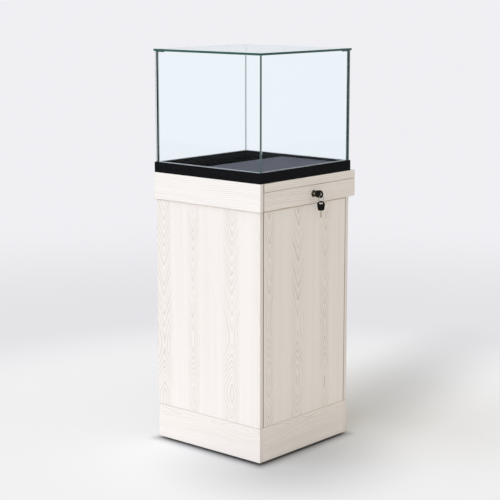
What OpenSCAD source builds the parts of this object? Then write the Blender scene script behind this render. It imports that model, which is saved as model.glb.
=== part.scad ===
// Pedestal display case: a boxed wooden pedestal on a plinth, a proud header with a
// locking drawer, and a glass hood that stands in the groove of a black base frame.
// Millimetres. X runs to the right along the drawer front, Y to the back, Z up.
// The origin is on the floor, under the middle of the pedestal's square body.

/* [Pedestal] */
// Width of the pedestal body, left to right
case_w = 500; // [460:5:600]
// Depth of the pedestal body, front to back
case_d = 500; // [480:5:600]
// Height of the body panels, from the plinth to the header
carcass_h = 776; // [400:1:1000]
// Height of the plinth boards
plinth_h = 126; // [60:1:200]
// Thickness of the plinth, body and header boards
board_t = 18; // [16:0.5:20]
// Easing along the edges of the boards
board_ease = 0.8; // [0.3:0.1:1.2]
// Height of the glides under the plinth
glide_h = 10; // [4:0.5:12]
// Diameter of the glides
glide_d = 34; // [20:1:40]
// Side of the square corner blocks inside the plinth
block_w = 42; // [40:1:60]
// Width of the battens that carry the bottom board
batten_w = 24; // [16:1:40]
// Height of the battens that carry the bottom board
batten_h = 18; // [12:1:24]

/* [Joints] */
// Diameter of the wooden dowels
dowel_d = 8; // [6:0.5:8]
// Length of the wooden dowels
dowel_len = 30; // [26:1:32]
// How far each dowel goes into the face of a board
dowel_seat = 11; // [8:0.5:12]
// Radial clearance of dowels, screws and the lock in their holes
hole_fit = 0.05; // [0.02:0.01:0.1]
// Diameter of the screws' shanks
screw_d = 3.5; // [3:0.1:4]
// Length of the screws' shanks
screw_len = 12; // [8:0.5:14]
// Diameter of the screws' heads
screw_head_d = 7; // [6:0.1:8]

/* [Header and drawer] */
// Height of the header
header_h = 98; // [90:1:140]
// How far the header stands out from the body
header_proud = 6; // [2:0.5:8]
// Thickness of the outer board that widens the header on the right
outer_board_t = 24; // [18:0.5:40]
// Height of the fixed rail above the drawer front
top_rail_h = 30; // [28:0.5:40]
// Gap round the drawer front
front_gap = 1.5; // [1:0.1:3]
// Thickness of the drawer's sides and back
drawer_side_t = 12; // [10:0.5:15]
// Height of the drawer's sides
drawer_side_h = 46; // [44:0.5:52]
// Thickness of the drawer's bottom
drawer_bottom_t = 4; // [3:0.5:6]
// Depth of the grooves that hold the drawer's bottom
drawer_groove = 6; // [4:0.5:8]
// Space between the drawer box and the header's back
drawer_back_gap = 36; // [26:1:60]
// How much shorter the runners are than the drawer box
runner_short = 40; // [20:1:90]
// Height of the runners
runner_h = 35; // [33:0.5:38]
// Space that a runner takes between the header and the drawer side
runner_w = 12.7; // [12.2:0.1:13.5]
// Sheet thickness of the runners
runner_sheet = 1.2; // [1:0.1:1.3]
// Diameter of the balls between the outer and middle members
outer_ball_d = 3.6; // [3.2:0.1:3.8]
// Diameter of the balls between the middle and inner members
inner_ball_d = 2.8; // [2.4:0.1:3]
// Number of balls in each row
balls_per_row = 6; // [2:1:10]

/* [Display base] */
// Height of the black base frame
base_h = 38; // [34:1:60]
// How far the base frame stands out from the body
base_proud = 4; // [3:0.5:6]
// Width of the base frame's rim
base_rim_w = 18; // [17:0.5:24]
// Width of the ledge inside the base frame, which carries the deck
base_ledge_w = 12; // [8:0.5:16]
// Depth of the groove that takes the glass
groove_depth = 6; // [4:0.5:10]
// Clearance between the glass and the outer side of its groove
groove_fit = 0.4; // [0.3:0.05:0.8]
// Thickness of the strip under the glass
seat_t = 1.5; // [1:0.1:2.5]
// Thickness of the strip's wall on the inner side of the glass
seat_wall_t = 0.6; // [0.5:0.05:0.8]
// Width of the strip's flange, which lies on the rim inside the glass
seat_flange_w = 3.6; // [2.5:0.1:4]
// Thickness of the strip's flange
seat_flange_t = 1.2; // [0.8:0.1:1.5]
// Depth of the deck plate's top below the rim
deck_drop = 9; // [6:0.5:12]
// Thickness of the deck plate
deck_t = 12; // [9:0.5:13]
// Distance from the deck plate's free edge to the body's back face
well_reach = 190; // [120:1:300]
// Depth of the well's floor below the rim
well_drop = 56; // [40:0.5:60]
// Sheet thickness of the well tray
tray_t = 2; // [1.5:0.1:3]
// Clearance round the deck plate and the well tray
tray_fit = 0.5; // [0.3:0.1:1]

/* [Glass hood] */
// Height of the side panes above the base frame
glass_h = 400; // [200:1:600]
// Thickness of the glass
glass_t = 8; // [6:0.5:10]
// Ground bevel on the edges of the glass
glass_bevel = 0.8; // [0.4:0.1:1]
// How far the top pane stands out from the side panes
top_pane_proud = 4; // [2:0.5:6]
// Leg length of the corner connectors
connector_len = 30; // [20:1:32]
// Width of the corner connectors' legs
connector_w = 5; // [4:0.5:12]
// Height of the corner connectors
connector_h = 3.5; // [2.5:0.5:8]

/* [Lock and keys] */
// Distance of the lock to the right of the middle
lock_x = 36; // [-100:1:100]
// Height of the lock above the underside of the header
lock_up = 36; // [32:0.5:40]
// Diameter of the lock's body
lock_d = 16; // [15:0.5:18]
// Diameter of the lock's rosette
rosette_d = 26; // [22:0.5:30]
// Thickness of the rosette
rosette_t = 1.6; // [1:0.1:2.5]
// Diameter of the lock's plug
plug_d = 11; // [10:0.5:12]
// Thickness of the cam
cam_t = 2; // [1.5:0.1:3]
// Width of the cam
cam_w = 15; // [13:0.5:16]
// How far the cam reaches up behind the top rail when locked
cam_catch = 4.5; // [3:0.1:6]
// Length of a key's head
bow_len = 35; // [34:0.5:40]
// Width of a key's head
bow_w = 28.5; // [26:0.5:30]
// Thickness of a key's head
bow_t = 6; // [4:0.1:7]
// Bevel along the edges of a key's head
bow_bevel = 1.2; // [0.6:0.1:1.6]
// Width of the slot in a key's head
slot_w = 13; // [12:0.5:14]
// Height of the slot in a key's head
slot_h = 7; // [6.5:0.1:8]
// Material between the slot and the end of a key's head
slot_end = 5; // [4.5:0.1:6]
// Length of a key's blade beyond its head
blade_len = 25; // [22:0.5:25]
// Width of a key's blade
blade_w = 6.4; // [5:0.1:7]
// Thickness of a key's blade
blade_t = 2; // [1.6:0.1:2.2]
// Width of the groove along each side of a key's blade
blade_groove_w = 1.6; // [1:0.1:2]
// Depth of the groove along each side of a key's blade
blade_groove_d = 0.4; // [0.2:0.1:0.6]
// Length of blade that shows between the lock and the key's head
blade_show = 6; // [5:0.5:14]
// Radius of the key ring, to the middle of its wire
ring_r = 13; // [12:0.1:14]
// Thickness of the key ring's wire
ring_wire = 2; // [1.6:0.1:2]
// How far the spare key is turned to the left on its ring
spare_turn = 40; // [20:1:45]

/* [Hidden] */
$fa = 6;
$fs = 0.6;

// Pins of the glides, and small clearances used all over
glide_pin_d = 5;
glide_pin_len = 18;
cut = 1;

// Heights of the levels, from the floor up
z_plinth = glide_h;
z_body = z_plinth + plinth_h;
z_header = z_body + carcass_h;
z_base = z_header + header_h;
z_rim = z_base + base_h;
z_ledge = z_rim - deck_drop - deck_t;
z_glass = z_rim - groove_depth + seat_t;
z_top_pane = z_rim + glass_h;
z_rail = z_base - top_rail_h;

// Half sizes of the body, the header, the base frame and the glass
body_x = case_w / 2;
body_y = case_d / 2;
head_x = body_x + header_proud;
head_y = body_y + header_proud;
base_x = body_x + base_proud;
base_y = body_y + base_proud;
glass_in_x = body_x - glass_t;
glass_in_y = body_y - glass_t;
seat_play = 0.1;
groove_w = groove_fit + glass_t + seat_wall_t + 2 * seat_play;
ledge_x = base_x - base_rim_w;
ledge_y = base_y - base_rim_w;
well_x = ledge_x - base_ledge_w;
well_y = ledge_y - base_ledge_w;

// Faces inside the header
bay_x = head_x - board_t;
bay_y = head_y - board_t;
outer_x1 = head_x + outer_board_t;
front_y = -head_y;
back_of_front_y = -bay_y;

// Drawer
drawer_x = bay_x - runner_w;
drawer_in_x = drawer_x - drawer_side_t;
drawer_front_z = [z_header + front_gap, z_rail - front_gap];
drawer_side_up = 8;
drawer_bottom_up = 4;
drawer_side_z0 = z_header + drawer_side_up;
drawer_bottom_z = drawer_side_z0 + drawer_bottom_up;
drawer_back_y = bay_y - drawer_back_gap;
bottom_play = 0.2;
bracket_t = 2;
bracket_leg = 22;
bracket_h = 26;
bracket_screw_in = 13;
bracket_z = drawer_bottom_z + drawer_bottom_t + drawer_bottom_up;

// Runners: three nested channels with rows of balls between their flanges. Depths are
// from the header's board towards the drawer.
runner_len = drawer_back_y - back_of_front_y - runner_short;
runner_z = drawer_side_z0 + drawer_side_h / 2;
runner_set_back = 2;
runner_y0 = back_of_front_y + runner_set_back;
ball_play = 0.05;
mid_web = 2 * runner_sheet;
inner_web = runner_w - runner_sheet;
mid_h = runner_h - 2 * runner_sheet - 2 * outer_ball_d - 4 * ball_play;
inner_h = mid_h - 2 * runner_sheet - 2 * inner_ball_d - 4 * ball_play;
outer_ball_off = 1;
inner_ball_off = 2;
outer_ball_at = [mid_web + outer_ball_off + outer_ball_d / 2,
    mid_h / 2 + ball_play + outer_ball_d / 2];
inner_ball_at = [inner_web - inner_ball_off - inner_ball_d / 2,
    inner_h / 2 + ball_play + inner_ball_d / 2];
runner_head_t = 0.9;
runner_screw_inset = 35;

// Deck, well and bearer
deck_back = body_y - well_reach;
bearer_w = board_t;
bearer_lap = 12;
bearer_y0 = deck_back - bearer_lap;
tray_y0 = bearer_y0 + bearer_w + tray_fit;
tray_z = z_rim - well_drop - tray_t;

// Lock, from its face back into the drawer
lock_z = z_header + lock_up;
lock_face_y = front_y - rosette_t;
nut_t = 4;
nut_d = 24;
thread_end = 0.4;
lock_back_y = back_of_front_y + nut_t + thread_end;
cam_play = 0.2;
cam_y = lock_back_y + cam_play;
cam_square = 7;
cam_screw_grip = 3;
cam_reach = z_rail + cam_catch - lock_z;
cam_screw_d = 4;
cam_screw_head_d = 10;
cam_screw_head_t = 2.2;
strike_t = 4;
strike_w = 44;
strike_h = 20;
keyway_play = 0.1;

// Keys and ring
key_socket = 8;
bow_end_y = lock_face_y - blade_show - bow_len;
slot_u = bow_len - slot_end - slot_h / 2;
slot_y = bow_end_y + bow_len - slot_u;
bar_h = (bow_w - slot_w) / 2;
bar_z = lock_z - slot_w / 2 - bar_h / 2;
ring_play = 0.9;
ring_hang = ring_r - ring_wire / 2 - bar_h / 2 - ring_play;
ring_z = bar_z - ring_hang;
ring_low_z = ring_z - ring_r;
slot_over_wire = 2;
spare_top_z = ring_low_z + slot_over_wire + slot_end;

// Places of repeated fasteners
function span(n, a, b) = [for (i = [0 : n - 1]) a + (b - a) * i / (n - 1)];
function side_signs() = [-1, 1];
panel_peg_inset = 70;
panel_peg_end = 90;
plinth_peg_inset = 110;
plinth_peg_end = 35;
rail_peg_drop = 14;
head_peg_up = 24;
panel_ys = span(4, -body_y + panel_peg_inset, body_y - panel_peg_inset);
plinth_ys = span(3, -body_y + plinth_peg_inset, body_y - plinth_peg_inset);
plinth_xs = span(3, -body_x + plinth_peg_inset, body_x - plinth_peg_inset);
panel_zs = span(5, z_body + panel_peg_end, z_header - panel_peg_end);
head_zs = [z_header + head_peg_up, z_base - rail_peg_drop];

// Dowels, each [middle of the joint face, direction into the end grain]
plinth_pegs = [for (sx = side_signs(), sy = side_signs(),
        z = [z_plinth + plinth_peg_end, z_body - plinth_peg_end])
    [[sx * (body_x - board_t), sy * (body_y - board_t / 2), z], [-sx, 0, 0]]];
panel_pegs = concat(
    [for (sx = side_signs(), sy = side_signs(), z = panel_zs)
        [[sx * (body_x - board_t), sy * (body_y - board_t / 2), z], [-sx, 0, 0]]],
    [for (sx = side_signs(), y = panel_ys, z = [z_body + board_t / 2, z_header - board_t / 2])
        [[sx * (body_x - board_t), y, z], [-sx, 0, 0]]],
    [for (sx = side_signs(), y = plinth_ys)
        [[sx * (body_x - board_t / 2), y, z_body], [0, 0, -1]]],
    [for (sy = side_signs(), x = plinth_xs)
        [[x, sy * (body_y - board_t / 2), z_body], [0, 0, -1]]]);
header_pegs = concat(
    [for (sx = side_signs(), z = head_zs) [[sx * bay_x, head_y - board_t / 2, z], [-sx, 0, 0]]],
    [[[-bay_x, -head_y + board_t / 2, z_base - rail_peg_drop], [1, 0, 0]],
     [[bay_x + board_t / 2, -bay_y, z_base - rail_peg_drop], [0, 1, 0]]]);
// Header on the body, its outer board on the right, and the base frame on the header
header_foot_pegs = concat(
    [for (sx = side_signs(), y = plinth_ys)
        [[sx * (bay_x + body_x) / 2, y, z_header], [0, 0, -1]]],
    [for (x = plinth_xs) [[x, (bay_y + body_y) / 2, z_header], [0, 0, -1]]]);
outer_board_pegs = [for (y = plinth_ys) [[head_x, y, (z_header + z_base) / 2], [1, 0, 0]]];
base_pegs = concat(
    [for (sx = side_signs(), y = plinth_ys) [[sx * (head_x - board_t / 2), y, z_base], [0, 0, -1]]],
    [for (sy = side_signs(), x = plinth_xs) [[x, sy * (head_y - board_t / 2), z_base], [0, 0, -1]]]);
bearer_pegs = [for (sx = side_signs())
    [[sx * well_x, bearer_y0 + bearer_w / 2, (z_base + z_ledge) / 2], [-sx, 0, 0]]];

// Screws, each [seat of the head, direction of the shank]
outer_runner_screws = [for (sx = side_signs(), y = [runner_y0 + runner_screw_inset,
        runner_y0 + runner_len - runner_screw_inset])
    [[sx * (bay_x - runner_sheet), y, runner_z], [sx, 0, 0]]];
inner_runner_screws = [for (sx = side_signs(), y = [runner_y0 + runner_screw_inset,
        runner_y0 + runner_len - runner_screw_inset])
    [[sx * (drawer_x + runner_sheet), y, runner_z], [-sx, 0, 0]]];
strike_screws = [for (dx = [-1, 1])
    [[lock_x + dx * strike_w / 4, back_of_front_y + strike_t, z_rail + strike_h / 2], [0, -1, 0]]];
bracket_screws = concat(
    [for (sx = side_signs()) [[sx * (drawer_in_x - bracket_screw_in),
        back_of_front_y + bracket_t, bracket_z + bracket_h / 2], [0, -1, 0]]],
    [for (sx = side_signs()) [[sx * (drawer_in_x - bracket_t),
        back_of_front_y + bracket_screw_in, bracket_z + bracket_h / 2], [sx, 0, 0]]]);
bracket_screw_len = 9;
runner_screw_len = 10;
low_head_t = 1.5;

wood = [0.93, 0.89, 0.83];
inner_wood = [0.85, 0.78, 0.66];
black = [0.1, 0.1, 0.11];
deck_grey = [0.38, 0.38, 0.42];
steel = [0.72, 0.73, 0.75];
nickel = [0.78, 0.75, 0.7];
key_black = [0.06, 0.06, 0.06];
glass_tint = [0.75, 0.88, 0.85, 0.35];
clear_vinyl = [0.85, 0.87, 0.88];

// Rectangle with eased corners
module eased_rect(a, b, ease) {
    polygon([[ease, 0], [a - ease, 0], [a, ease], [a, b - ease],
        [a - ease, b], [ease, b], [0, b - ease], [0, ease]]);
}

// Board between the limits x, y and z, with all its edges eased
module board(x, y, z, ease = board_ease) {
    size = [x[1] - x[0], y[1] - y[0], z[1] - z[0]];
    translate([x[0], y[0], z[0]]) intersection() {
        linear_extrude(size.z) eased_rect(size.x, size.y, ease);
        translate([0, size.y, 0]) rotate([90, 0, 0])
            linear_extrude(size.y) eased_rect(size.x, size.z, ease);
        rotate([90, 0, 90]) linear_extrude(size.x) eased_rect(size.y, size.z, ease);
    }
}

// Box between the limits x, y and z, with sharp edges
module block(x, y, z) {
    translate([x[0], y[0], z[0]]) cube([x[1] - x[0], y[1] - y[0], z[1] - z[0]]);
}

// Turns a shape that points up so that it points along dir
module aim(dir) {
    turn = dir.z != 0 ? (dir.z > 0 ? [0, 0, 0] : [180, 0, 0])
        : dir.x != 0 ? [0, 90 * dir.x, 0] : [-90 * dir.y, 0, 0];
    rotate(turn) children();
}

// Dowels across the joint faces; the deep end lies in the end grain
module pegs(places) {
    for (p = places)
        translate(p[0]) aim(p[1]) translate([0, 0, -dowel_seat])
            cylinder(d = dowel_d, h = dowel_len);
}
module peg_holes(places) {
    for (p = places)
        translate(p[0]) aim(p[1]) translate([0, 0, -dowel_seat - cut])
            cylinder(d = dowel_d + 2 * hole_fit, h = dowel_len + 2 * cut);
}

// Pan-head screws, seated at their places
module screws(places, len, head_t) {
    for (p = places)
        translate(p[0]) aim(p[1]) {
            translate([0, 0, -head_t]) cylinder(d = screw_head_d, h = head_t);
            cylinder(d = screw_d, h = len);
        }
}
module screw_holes(places, len = screw_len) {
    for (p = places)
        translate(p[0]) aim(p[1]) translate([0, 0, -cut])
            cylinder(d = screw_d + 2 * hole_fit, h = len + 2 * cut);
}

// ---- plinth ----

module plinth_cross_board(side) {
    y0 = side < 0 ? -body_y : body_y - board_t;
    color(wood) difference() {
        board([-body_x + board_t, body_x - board_t], [y0, y0 + board_t], [z_plinth, z_body]);
        peg_holes(plinth_pegs);
        peg_holes(panel_pegs);
    }
}
module plinth_front() plinth_cross_board(-1);
module plinth_back() plinth_cross_board(1);

module plinth_side_board(side) {
    x0 = side < 0 ? -body_x : body_x - board_t;
    color(wood) difference() {
        board([x0, x0 + board_t], [-body_y, body_y], [z_plinth, z_body]);
        peg_holes(plinth_pegs);
        peg_holes(panel_pegs);
    }
}
module plinth_left() plinth_side_board(-1);
module plinth_right() plinth_side_board(1);

module at_corner_blocks() {
    for (sx = side_signs(), sy = side_signs())
        translate([sx * (body_x - board_t - block_w / 2), sy * (body_y - board_t - block_w / 2), 0])
            children();
}
module plinth_corner_blocks() {
    color(inner_wood) at_corner_blocks() difference() {
        translate([-block_w / 2, -block_w / 2, z_plinth])
            cube([block_w, block_w, plinth_h - batten_h]);
        translate([0, 0, z_plinth - cut])
            cylinder(d = glide_pin_d + 2 * hole_fit, h = glide_pin_len + 2 * cut);
    }
}

// Battens along the plinth's four boards, cut a little short of each other
module plinth_battens() {
    in_x = body_x - board_t;
    in_y = body_y - board_t;
    short = batten_w + 0.5;
    z = [z_body - batten_h, z_body];
    color(inner_wood) for (s = side_signs()) {
        block([-in_x, in_x], s < 0 ? [-in_y, -in_y + batten_w] : [in_y - batten_w, in_y], z);
        block(s < 0 ? [-in_x, -in_x + batten_w] : [in_x - batten_w, in_x],
            [-in_y + short, in_y - short], z);
    }
}

// Nail-on glides: a rounded foot with its pin in the corner block
module glides() {
    foot_round = 2;
    color(black) at_corner_blocks() {
        rotate_extrude($fn = 48) polygon(concat(
            [[0, 0], [glide_d / 2 - foot_round, 0]],
            [for (a = [-75 : 15 : 0]) [glide_d / 2 - foot_round + foot_round * cos(a),
                foot_round + foot_round * sin(a)]],
            [[glide_d / 2, glide_h], [0, glide_h]]));
        cylinder(d = glide_pin_d, h = glide_h + glide_pin_len);
    }
}

// ---- body ----

module bottom_board() {
    color(inner_wood) difference() {
        board([-body_x + board_t, body_x - board_t], [-body_y + board_t, body_y - board_t],
            [z_body, z_body + board_t]);
        peg_holes(panel_pegs);
    }
}
module top_board() {
    color(inner_wood) difference() {
        board([-body_x + board_t, body_x - board_t], [-body_y + board_t, body_y - board_t],
            [z_header - board_t, z_header]);
        peg_holes(panel_pegs);
    }
}

module side_panel(side) {
    x0 = side < 0 ? -body_x : body_x - board_t;
    color(wood) difference() {
        board([x0, x0 + board_t], [-body_y, body_y], [z_body, z_header]);
        peg_holes(panel_pegs);
        peg_holes(header_foot_pegs);
    }
}
module side_panel_left() side_panel(-1);
module side_panel_right() side_panel(1);

module cross_panel(side) {
    y0 = side < 0 ? -body_y : body_y - board_t;
    color(wood) difference() {
        board([-body_x + board_t, body_x - board_t], [y0, y0 + board_t], [z_body, z_header]);
        peg_holes(panel_pegs);
        peg_holes(header_foot_pegs);
    }
}
module front_panel() cross_panel(-1);
module back_panel() cross_panel(1);

module joint_dowels() {
    color(inner_wood) pegs(concat(plinth_pegs, panel_pegs, header_pegs, header_foot_pegs,
        outer_board_pegs, base_pegs, bearer_pegs));
}

// ---- header ----

// Holes of every dowel that meets the header
module header_peg_holes() {
    peg_holes(concat(header_pegs, header_foot_pegs, outer_board_pegs, base_pegs));
}
module header_left() {
    color(wood) difference() {
        board([-head_x, -bay_x], [-head_y, head_y], [z_header, z_base]);
        header_peg_holes();
        screw_holes(outer_runner_screws);
    }
}
module header_right() {
    color(wood) difference() {
        board([bay_x, head_x], [-bay_y, head_y], [z_header, z_base]);
        header_peg_holes();
        screw_holes(outer_runner_screws);
    }
}
module header_outer_right() {
    color(wood) difference() {
        board([head_x, outer_x1], [-bay_y, head_y], [z_header, z_base]);
        header_peg_holes();
    }
}
module header_back() {
    color(wood) difference() {
        board([-bay_x, bay_x], [bay_y, head_y], [z_header, z_base]);
        header_peg_holes();
    }
}
module header_top_rail() {
    color(wood) difference() {
        board([-bay_x, outer_x1], [-head_y, -bay_y], [z_rail, z_base]);
        header_peg_holes();
        screw_holes(strike_screws);
    }
}

module header_screws() {
    color(steel) {
        screws(outer_runner_screws, screw_len, runner_head_t);
        screws(strike_screws, screw_len, low_head_t);
    }
}

// Plate behind the top rail that the cam turns up behind
module strike_plate() {
    color(steel) difference() {
        block([lock_x - strike_w / 2, lock_x + strike_w / 2],
            [back_of_front_y, back_of_front_y + strike_t], [z_rail, z_rail + strike_h]);
        screw_holes(strike_screws);
    }
}

// ---- runners ----

// Section of a channel of height h: a web at depth u, and two flanges from the web to
// depth reach
module channel(u, reach, h) {
    start = min(u, reach);
    translate([u, -h / 2]) square([runner_sheet, h]);
    for (s = side_signs())
        translate([start, s > 0 ? h / 2 - runner_sheet : -h / 2])
            square([max(u + runner_sheet, reach) - start, runner_sheet]);
}
// Curled edge of a flange, a part of a ring round the balls at place at, above and below:
// it starts on the side of them that lies out from the runner's middle, or towards it where
// out is -1, and ends just past them towards the drawer, or the header where dir is -1
module raceway(at, d, out, dir) {
    inner = d / 2 + ball_play;
    outer = inner + runner_sheet;
    past = 0.4 * inner;
    for (s = side_signs())
        translate([at.x, s * at.y]) intersection() {
            difference() {
                circle(outer, $fn = 48);
                circle(inner, $fn = 48);
            }
            translate([dir < 0 ? -outer : 0, s * out < 0 ? -outer : -past])
                square([outer, outer + past]);
        }
}
// Places things by their depth from the header's board on one side, and their height
// above the middle of the runner
module at_runner(side) {
    translate([side * bay_x, runner_y0, runner_z]) mirror([side > 0 ? 1 : 0, 0, 0]) children();
}
module along_runner(side) {
    at_runner(side) rotate([90, 0, 0]) mirror([0, 0, 1]) linear_extrude(runner_len) children();
}

module runner_outer(side) {
    color(steel) difference() {
        along_runner(side) union() {
            channel(0, outer_ball_at.x, runner_h);
            raceway(outer_ball_at, outer_ball_d, 1, 1);
        }
        screw_holes(outer_runner_screws);
    }
}
module runner_outer_left() runner_outer(-1);
module runner_outer_right() runner_outer(1);
module runner_middle(side) {
    color(steel) along_runner(side) union() {
        channel(mid_web, inner_ball_at.x, mid_h);
        raceway(inner_ball_at, inner_ball_d, 1, 1);
        raceway(outer_ball_at, outer_ball_d, -1, -1);
    }
}
module runner_middle_left() runner_middle(-1);
module runner_middle_right() runner_middle(1);
module runner_inner(side) {
    color(steel) difference() {
        along_runner(side) union() {
            channel(inner_web, inner_ball_at.x, inner_h);
            raceway(inner_ball_at, inner_ball_d, -1, -1);
        }
        screw_holes(inner_runner_screws);
    }
}
module runner_inner_left() runner_inner(-1);
module runner_inner_right() runner_inner(1);

// Rows of balls above and below the middle of each runner. With the drawer out they have
// to lie where both members still are, so at rest they fill only the middle of the length.
module ball_rows(at, d) {
    end_share = 0.27;
    ys = span(balls_per_row, end_share * runner_len, (1 - end_share) * runner_len);
    color(steel) for (side = side_signs(), s = side_signs(), y = ys)
        at_runner(side) translate([at.x, y, s * at.y]) sphere(d = d, $fn = 24);
}
module outer_runner_balls() ball_rows(outer_ball_at, outer_ball_d);
module inner_runner_balls() ball_rows(inner_ball_at, inner_ball_d);

// ---- black base frame ----

// One mitred rail, length len, with its outer face on y = 0 and its middle on x = 0
module base_rail(len) {
    depth = base_rim_w + base_ledge_w;
    ease = 1;
    groove_y = base_proud - groove_fit;
    rim = z_rim - z_base;
    ledge = z_ledge - z_base;
    color(black) difference() {
        intersection() {
            translate([-len / 2, 0, z_base]) rotate([90, 0, 90]) linear_extrude(len)
                polygon([[0, 0], [depth, 0], [depth, ledge], [base_rim_w, ledge],
                    [base_rim_w, rim - ease], [base_rim_w - ease, rim], [ease, rim],
                    [0, rim - ease]]);
            translate([0, 0, z_base - cut]) linear_extrude(rim + 2 * cut)
                polygon([[-len / 2, 0], [len / 2, 0], [len / 2 - depth, depth],
                    [-len / 2 + depth, depth]]);
        }
        translate([-len / 2, groove_y, z_rim - groove_depth])
            cube([len, groove_w, groove_depth + cut]);
    }
}
// Puts a rail on one side of the square, facing out along turn degrees from the front
module placed_rail(turn, half_width, half_depth) {
    difference() {
        rotate([0, 0, turn]) translate([0, -half_depth, 0]) base_rail(2 * half_width);
        peg_holes(bearer_pegs);
        peg_holes(base_pegs);
    }
}
module base_rail_front() placed_rail(0, base_x, base_y);
module base_rail_right() placed_rail(90, base_y, base_x);
module base_rail_back() placed_rail(180, base_x, base_y);
module base_rail_left() placed_rail(270, base_y, base_x);

// Square ring whose inner edge lies inset inside the glass's inner faces
module inner_ring(inset, w, z) {
    difference() {
        block([-glass_in_x + inset, glass_in_x - inset], [-glass_in_y + inset, glass_in_y - inset],
            z);
        block([-glass_in_x + inset + w, glass_in_x - inset - w],
            [-glass_in_y + inset + w, glass_in_y - inset - w], [z[0] - cut, z[1] + cut]);
    }
}
// Strip under the glass, with a wall up its inner side and a flange on the rim
module glass_seat_strip() {
    seat_w = groove_w - 2 * seat_play;
    outset = groove_w - seat_wall_t - 2 * seat_play;
    z0 = z_rim - groove_depth;
    color(clear_vinyl) union() {
        inner_ring(seat_play - outset, seat_w, [z0, z_glass]);
        inner_ring(seat_play, seat_wall_t, [z0, z_rim + seat_flange_t]);
        inner_ring(seat_play, seat_flange_w, [z_rim, z_rim + seat_flange_t]);
    }
}

// ---- deck and well ----

module deck_bearer() {
    color(black) difference() {
        block([-well_x, well_x], [bearer_y0, bearer_y0 + bearer_w], [z_base, z_ledge]);
        peg_holes(bearer_pegs);
    }
}
module deck_plate() {
    color(deck_grey) board([-ledge_x + tray_fit, ledge_x - tray_fit],
        [-ledge_y + tray_fit, deck_back], [z_ledge, z_ledge + deck_t]);
}
module well_tray() {
    x = well_x - tray_fit;
    y1 = well_y - tray_fit;
    color(black) difference() {
        union() {
            block([-x, x], [tray_y0, y1], [tray_z, z_ledge + tray_t]);
            block([-ledge_x + tray_fit, ledge_x - tray_fit],
                [deck_back + tray_fit, ledge_y - tray_fit], [z_ledge, z_ledge + tray_t]);
        }
        block([-x + tray_t, x - tray_t], [tray_y0 + tray_t, y1 - tray_t],
            [tray_z + tray_t, z_rim]);
    }
}

// ---- drawer ----

module drawer_front() {
    color(wood) difference() {
        board([-bay_x + front_gap, outer_x1], [front_y, back_of_front_y], drawer_front_z);
        translate([lock_x, front_y - cut, lock_z]) rotate([-90, 0, 0])
            cylinder(d = lock_d + 2 * hole_fit, h = board_t + 2 * cut);
        screw_holes(bracket_screws, bracket_screw_len);
    }
}

module drawer_side(side) {
    x0 = side < 0 ? -drawer_x : drawer_in_x;
    groove_x0 = side < 0 ? -drawer_in_x - drawer_groove : drawer_in_x;
    color(inner_wood) difference() {
        block([x0, x0 + drawer_side_t], [back_of_front_y, drawer_back_y],
            [drawer_side_z0, drawer_side_z0 + drawer_side_h]);
        block([groove_x0, groove_x0 + drawer_groove], [back_of_front_y - cut, drawer_back_y + cut],
            [drawer_bottom_z, drawer_bottom_z + drawer_bottom_t + bottom_play]);
        screw_holes(inner_runner_screws, runner_screw_len);
        screw_holes(bracket_screws, bracket_screw_len);
    }
}
module drawer_side_left() drawer_side(-1);
module drawer_side_right() drawer_side(1);

module drawer_back() {
    color(inner_wood) block([-drawer_in_x, drawer_in_x],
        [drawer_back_y - drawer_side_t, drawer_back_y],
        [drawer_bottom_z + drawer_bottom_t, drawer_side_z0 + drawer_side_h]);
}
module drawer_bottom() {
    reach = drawer_in_x + drawer_groove - bottom_play;
    color(inner_wood) block([-reach, reach], [back_of_front_y, drawer_back_y],
        [drawer_bottom_z, drawer_bottom_z + drawer_bottom_t]);
}

module drawer_brackets() {
    color(steel) difference() {
        for (s = side_signs())
            mirror([s > 0 ? 0 : 1, 0, 0]) union() {
                block([drawer_in_x - bracket_leg, drawer_in_x],
                    [back_of_front_y, back_of_front_y + bracket_t],
                    [bracket_z, bracket_z + bracket_h]);
                block([drawer_in_x - bracket_t, drawer_in_x],
                    [back_of_front_y, back_of_front_y + bracket_leg],
                    [bracket_z, bracket_z + bracket_h]);
            }
        screw_holes(bracket_screws, bracket_screw_len);
    }
}
module drawer_screws() {
    color(steel) {
        screws(inner_runner_screws, runner_screw_len, runner_head_t);
        screws(bracket_screws, bracket_screw_len, low_head_t);
    }
}

// ---- lock ----

// Turns a shape that is built up from z = 0 so that it runs into the drawer from face_y
module from_front(face_y) {
    translate([lock_x, face_y, lock_z]) rotate([-90, 0, 0]) children();
}

// Housing with a dished rosette in front of the wood
module lock_housing() {
    rim_w = 0.6;
    dish = 0.8;
    body_len = lock_back_y - lock_face_y;
    color(nickel) from_front(lock_face_y) difference() {
        rotate_extrude($fn = 64) polygon([[0, dish], [rosette_d / 2 - 4 * rim_w, dish],
            [rosette_d / 2 - 3 * rim_w, 0], [rosette_d / 2 - rim_w, 0], [rosette_d / 2, rim_w],
            [rosette_d / 2, rosette_t], [lock_d / 2, rosette_t], [lock_d / 2, body_len],
            [0, body_len]]);
        translate([0, 0, -cut]) cylinder(d = plug_d + 2 * hole_fit, h = body_len + 2 * cut);
    }
}

module lock_nut() {
    color(steel) from_front(back_of_front_y) difference() {
        cylinder(d = nut_d, h = nut_t, $fn = 6);
        translate([0, 0, -cut]) cylinder(d = lock_d + 2 * hole_fit, h = nut_t + 2 * cut);
    }
}

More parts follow.
